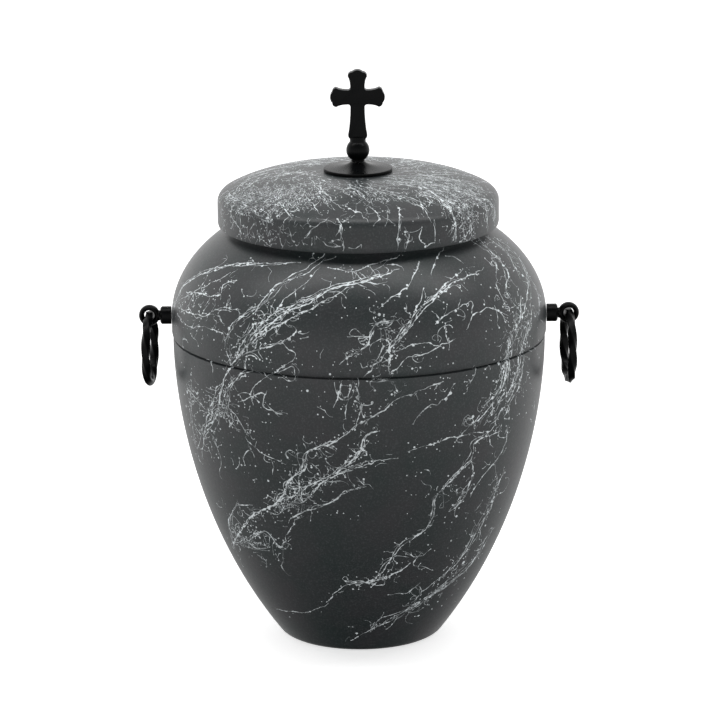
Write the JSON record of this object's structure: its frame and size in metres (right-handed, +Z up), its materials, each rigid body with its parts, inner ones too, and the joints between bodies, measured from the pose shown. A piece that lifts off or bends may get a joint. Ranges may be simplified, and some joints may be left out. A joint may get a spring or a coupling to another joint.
{
  "type": "cremation urn",
  "caption": "Wide-shouldered painted metal cremation urn, hollow, with a lift-off domed lid, a cross finial and twisted drop rings that swing.",
  "frame": {"origin": "centre of the underside of the base, on the surface that the urn stands on", "axes": "+Z up through the finial; the handles are at +X and -X; the cross faces -Y"},
  "size_m": [0.2552, 0.217, 0.3344],
  "materials": {
    "marbled_paint": "matte charcoal paint with a fine white marble web",
    "black_paint": "satin black paint"
  },
  "bodies": {
    "urn": {"lower_shell": "marbled_paint", "upper_shell": "marbled_paint", "lid": "marbled_paint", "rosette": "black_paint", "cross_finial": "black_paint", "left_collar": "black_paint", "right_collar": "black_paint", "left_eye": "black_paint", "right_eye": "black_paint"},
    "left_ring": {"left_ring": "black_paint"},
    "right_ring": {"right_ring": "black_paint"}
  },
  "joints": [
    {"name": "left_ring_swing", "type": "hinge", "parent": "urn", "child": "left_ring", "pos_m": [-0.12152, 0, 0.1905], "axis": [0.0872, 0.9962, 0], "range_deg": [-18, 212]},
    {"name": "right_ring_swing", "type": "hinge", "parent": "urn", "child": "right_ring", "pos_m": [0.12152, 0, 0.1905], "axis": [0.0872, -0.9962, 0], "range_deg": [-18, 212]}
  ]
}
